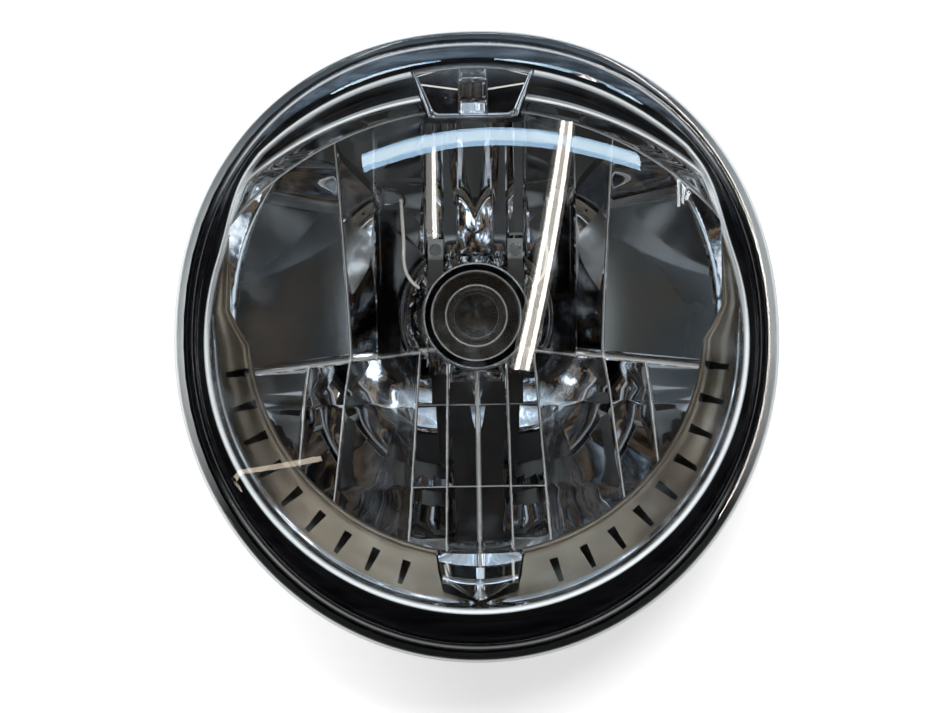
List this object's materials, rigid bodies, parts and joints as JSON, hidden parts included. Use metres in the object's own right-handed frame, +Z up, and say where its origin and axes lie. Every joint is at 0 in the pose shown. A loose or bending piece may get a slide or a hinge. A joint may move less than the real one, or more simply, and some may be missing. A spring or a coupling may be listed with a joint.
{
  "type": "motorcycle headlight unit",
  "caption": "Round motorcycle headlight unit with clear domed lens, chrome trim ring, faceted reflector, shielded bulb and a small position lamp, fixed by bosses on its back.",
  "frame": {"origin": "Centre of the circle through the three threaded bosses, on the plane of their rear faces.", "axes": "+Y points backwards out of the bosses, into the bracket that carries the unit, so the light goes towards -Y. +Z is up. +X is to the right for someone who looks at the lens."},
  "size_m": [0.1842, 0.12, 0.1928],
  "materials": {
    "lens_clear": "clear hard-coated plastic",
    "sealant_black": "cured bead",
    "housing_grey": "moulded, fine grain",
    "insert_brass": "knurled and turned",
    "bezel_chrome": "vacuum chromed, satin below",
    "reflector_mirror": "vacuum aluminised",
    "screw_steel": "zinc plated",
    "frame_chrome": "vacuum chromed",
    "pane_dark": "smoked, polished",
    "box_black": "moulded",
    "bulb_clear": "clear",
    "holder_black": "moulded",
    "shield_metal": "dark polished sheet",
    "bracket_steel": "pressed sheet",
    "filament_wire": "drawn and coiled",
    "base_metal": "pressed",
    "blade_brass": "tinned",
    "boot_rubber": "moulded"
  },
  "bodies": {
    "root": {"lens": "lens_clear", "lens_sealant": "sealant_black", "housing": "housing_grey", "mount_inserts": "insert_brass", "bezel": "bezel_chrome", "reflector": "reflector_mirror", "reflector_screws": "screw_steel", "position_lamp_frame": "frame_chrome", "position_lamp_pane": "pane_dark", "position_lamp_box": "box_black", "position_bulb": "bulb_clear", "position_bulb_holder": "holder_black", "bulb_shield": "shield_metal", "shield_bracket": "bracket_steel", "shield_rivets": "screw_steel", "bulb_glass": "bulb_clear", "bulb_filaments": "filament_wire", "bulb_inner_shield": "filament_wire", "bulb_base": "base_metal", "bulb_terminals": "blade_brass", "bulb_clip": "screw_steel", "clip_screw": "screw_steel", "bulb_boot": "boot_rubber", "breather_elbows": "boot_rubber"}
  },
  "joints": []
}
